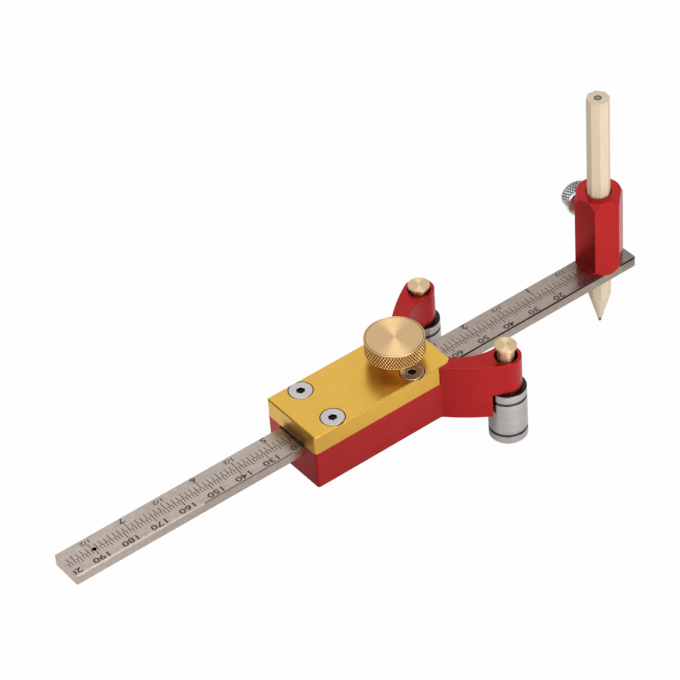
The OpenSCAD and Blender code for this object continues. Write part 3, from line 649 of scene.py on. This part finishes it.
def side_finishes(side, centre):
    """Finishes of the CAD nodes at one arm's end, with turning marks about the axle there.

    The roller's zones of painted shade are the floors of its two grooves and its top face.
    """
    # Painted shade in the grooves and on the top face under the arm.
    roller_zones = [tint((0.2, 0.18, 0.18), 0.04, R=(0, 5.88)),
                    tint((0.4, 0.37, 0.37), 0.05, Z=(7.85, OPEN))]
    parts = {
        "pin": finish_of("pin_brass_" + side, "rings", scale=7000, dark=(0.70, 0.51, 0.30),
                         light=(0.82, 0.61, 0.38), rough=(0.34, 0.42), bump=0.3,
                         edge=0.12 * MM, brushed=0.9, centre=centre),
        "roller_sleeve": finish_of("roller_steel_" + side, "rings", scale=3000,
                                   dark=(0.40, 0.375, 0.365), light=(0.50, 0.475, 0.465),
                                   rough=(0.22, 0.3), bump=0.25, edge=0.12 * MM, edge_light=1.0,
                                   brushed=0.8, centre=centre, zones=roller_zones),
        "axle_tube": finish_of("axle_steel_" + side, "rings", scale=3000,
                               dark=(0.36, 0.36, 0.37), light=(0.46, 0.46, 0.47),
                               rough=(0.2, 0.3), bump=0.4, centre=centre),
        "end_rings": finish_of("end_ring_steel_" + side, "rings", scale=3000,
                               dark=(0.10, 0.10, 0.105), light=(0.15, 0.15, 0.155),
                               rough=(0.3, 0.45), bump=0.4, centre=centre),
        "retaining_clip": finish_of("clip_steel_" + side, "grain", scale=5000,
                                    dark=(0.05, 0.05, 0.055), light=(0.09, 0.09, 0.095),
                                    rough=(0.3, 0.45), bump=0.3),
        "friction_ring": finish_of("ring_rubber_" + side, "grain", scale=5000,
                                   dark=(0.02, 0.02, 0.02), light=(0.035, 0.035, 0.035),
                                   rough=(0.6, 0.75), bump=0.4, metallic=0.0),
        "ball_cage": finish_of("cage_plastic_" + side, "grain", scale=4000,
                               dark=(0.025, 0.025, 0.027), light=(0.05, 0.05, 0.052),
                               rough=(0.4, 0.55), bump=0.3, metallic=0.0),
        "balls": finish_of("ball_steel_" + side, "grain", scale=4000, dark=(0.68, 0.68, 0.69),
                           light=(0.76, 0.76, 0.77), rough=(0.06, 0.12), bump=0.05),
    }
    return {part + "_" + side: material for part, material in parts.items()}


def dress():
    """Gives every CAD node its finish."""
    wear = single_finishes()
    wear |= side_finishes("near", (AXLE_X, -AXLE_Y, 0))
    wear |= side_finishes("far", (AXLE_X, AXLE_Y, 0))
    for name, material in wear.items():
        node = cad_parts[name]
        node.data.materials.clear()
        node.data.materials.append(material)


# ---------------------------------------------------------------- new pieces
def add_scales():
    """The graduations and figures, which ride on the ruler's body."""
    ink = finish_of("etched_ink", "grain", scale=9000, dark=(0.022, 0.014, 0.01),
                    light=(0.055, 0.036, 0.028), rough=(0.45, 0.6), bump=0.2, edge=0.02 * MM,
                    edge_light=1.0, metallic=0.0)
    for piece in (scale_marks(), scale_numbers()):
        piece.data.materials.append(ink)
        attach(piece, "beam")


def add_lock_knob():
    """The knurled lock knob, which stands for its CAD solid.

    Its zones, all painted shade, are the whole knurl, the knurl's grooves, and the ring turned in
    its top.
    """
    knurl = (23.5, 27.97)
    # Painted shade on the knurled side, in its grooves and in the ring under the top's rim.
    zones = [tint((0.92, 0.81, 0.62), 0.03, R=(8.5, 10), Z=knurl),
             tint((0.2, 0.1, 0.04), 0.06, R=(8.6, 8.94), Z=knurl),
             tint((0.35, 0.25, 0.15), 0.03, R=(8.56, 8.77), Z=(28.3, 28.44))]
    knob = lock_knob_knurled()
    knob.data.materials.append(finish_of(
        "knob_brass", "rings", scale=8000, dark=(0.73, 0.505, 0.26), light=(0.83, 0.58, 0.30),
        rough=(0.38, 0.44), bump=0.25, edge=0.1 * MM, brushed=0.9, zones=zones))
    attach(knob, "knob")
    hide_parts("lock_knob")


def add_thumb_screw():
    """The knurled thumb screw, which stands for its CAD solid; its knurl's grooves carry painted
    shade.
    """
    thumb = thumb_screw_knurled()
    thumb.data.materials.append(finish_of(
        "thumb_nickel", "rings", scale=5000, dark=(0.72, 0.72, 0.72), light=(0.84, 0.84, 0.84),
        rough=(0.15, 0.25), bump=0.3, edge=0.1 * MM, centre=(PENCIL_X, 0, THUMB_Z),
        turn=(0, math.pi / 2, THUMB_TURN),
        # Painted shade in the knurl's grooves.
        zones=[tint((0.2, 0.2, 0.2), 0.07, R=(4.5, 4.87), Z=(14, 18.6))]))
    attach(thumb, "thumb")
    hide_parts("thumb_screw")


# ---------------------------------------------------------------- studio
def rays(tree):
    """Two masks: 1 for what the camera looks at, and 1 for what is seen in metal or glass."""
    path = put(tree, "LightPath").outputs
    mirror = maths(tree, "MAXIMUM", path["Is Glossy Ray"], path["Is Transmission Ray"])
    return path["Is Camera Ray"], mirror


def add_floor():
    """White floor that keeps a soft shadow.

    Its glow is what the camera and the metal see of it. Seen in the metal, it carries a painted
    shadow under the body and past the body's tail end, and a painted pool of light on the near
    side of the arms.
    """
    reach, floor_z = 4, -12.45 * MM
    camera_share, mirror_share = 0.97, 0.6
    below_share, shade_depth, bright_lift = 0.85, -0.7, 0.4
    paper_grey, glow_white = (0.85, 0.85, 0.85, 1), (1, 1, 1, 1)
    corners = np.array([(-reach, -reach, floor_z), (reach, -reach, floor_z),
                        (reach, reach, floor_z), (-reach, reach, floor_z)])
    floor = mesh_piece("floor", corners, [(0, 1, 2, 3)])

    paper, tree, shader = new_material("floor_paper")
    tree.nodes.remove(shader)
    camera, mirror = rays(tree)
    where = put(tree, "TexCoord").outputs["Object"]
    # Painted shadow under and behind the body, and a painted pool of light on the near side, seen
    # only in the metal.
    behind = zone(tree, where, 10, {"X": (-75, -40), "Y": (-16, 16)})
    below = zone(tree, where, 8, {"X": (-40, 24), "Y": (-15, 24)})
    bright = zone(tree, where, 10, {"X": (-4, OPEN), "Y": (-OPEN, -40)})
    shade = maths(tree, "MAXIMUM", behind, maths(tree, "MULTIPLY", below, below_share))
    change = maths(tree, "MULTIPLY_ADD", shade, shade_depth,
                   maths(tree, "MULTIPLY", bright, bright_lift))
    level = maths(tree, "MULTIPLY_ADD", change, mirror, 1.0)
    card = put(tree, "BsdfDiffuse", {"Color": paper_grey})
    glow = put(tree, "Emission", {"Color": glow_white, "Strength": level})
    share = maths(tree, "MAXIMUM", maths(tree, "MULTIPLY", camera, camera_share),
                  maths(tree, "MULTIPLY", mirror, mirror_share))
    mix = put(tree, "MixShader", {0: share, 1: card.outputs[0], 2: glow.outputs[0]})
    feed(tree, mix.outputs[0], tree.nodes["Material Output"].inputs[0])
    floor.data.materials.append(paper)


def add_surroundings():
    """Plain white world, dimmer for what it lights than for what the camera sees.

    Metal sees it white in a lane along the line of view and widely on the camera's side, and
    dim elsewhere.
    """
    dim, lift = 0.45, 0.55
    to_right, to_camera = (0.79, -0.61, 0), (-0.656, -0.755, 0)
    lane_edge, lane_full, side_edge, side_full = 0.6, 0.2, 0.45, 0.65
    world = bpy.data.worlds.new("surroundings")
    bpy.context.scene.world = world
    world.use_nodes = True
    tree = world.node_tree
    camera, mirror = rays(tree)
    aim = put(tree, "TexCoord").outputs["Generated"]
    sideways, forwards = (
        put(tree, "VectorMath", {0: aim, 1: axis}, operation="DOT_PRODUCT").outputs["Value"]
        for axis in (to_right, to_camera))
    lane = ramp(tree, maths(tree, "ABSOLUTE", sideways), lane_edge, lane_full)
    camera_side = ramp(tree, forwards, side_edge, side_full)
    panel = maths(tree, "MAXIMUM", lane, camera_side)
    seen = maths(tree, "MAXIMUM", camera, maths(tree, "MULTIPLY", mirror, panel))
    back = tree.nodes["Background"]
    back.inputs["Color"].default_value = (1, 1, 1, 1)
    feed(tree, maths(tree, "MULTIPLY_ADD", seen, lift, dim), back.inputs["Strength"])


def add_lamps():
    """Three large soft lamps that look at a point just above the body's underside."""
    aim = (0.02, 0, 0.005)
    # Name, place, side of the square and power
    lamps = [("left_lamp", (-0.6, -0.06, 0.34), 0.5, 0.4),
             ("front_lamp", (0.02, -0.62, 0.26), 0.5, 2.5),
             ("top_lamp", (-0.08, -0.12, 0.75), 0.45, 1.4)]
    for name, place, size, power in lamps:
        data = bpy.data.lights.new(name, "AREA")
        data.size, data.energy = size, power
        lamp = in_scene(name, data)
        lamp.location = place
        lamp.rotation_mode = "QUATERNION"
        look = Vector([a - p for a, p in zip(aim, place)])
        lamp.rotation_quaternion = look.to_track_quat("-Z", "Y")


def add_camera():
    """Camera at the photograph's angle, from a fit to the ruler's marks and the body's edges."""
    right = (0.78913049, -0.61115906, -0.06129992)
    up = (0.43911881, 0.49156271, 0.75202445)
    back = (-0.4294738, -0.62036336, 0.65627855)
    place = (-0.409946, -0.564023, 0.635152)
    lens = bpy.data.cameras.new("photograph_angle")
    lens.lens, lens.sensor_width = 165.75, 36
    lens.clip_start, lens.clip_end = 0.05, 20
    camera = in_scene("photograph_angle", lens)
    turn = Matrix((right, up, back)).transposed().to_4x4()
    camera.matrix_world = Matrix.Translation(place) @ turn
    bpy.context.scene.camera = camera
    bpy.context.scene.view_settings.view_transform = "Standard"


add_floor()
add_surroundings()
add_lamps()
add_camera()
dress()
add_scales()
add_lock_knob()
add_thumb_screw()

bpy.context.view_layer.update()
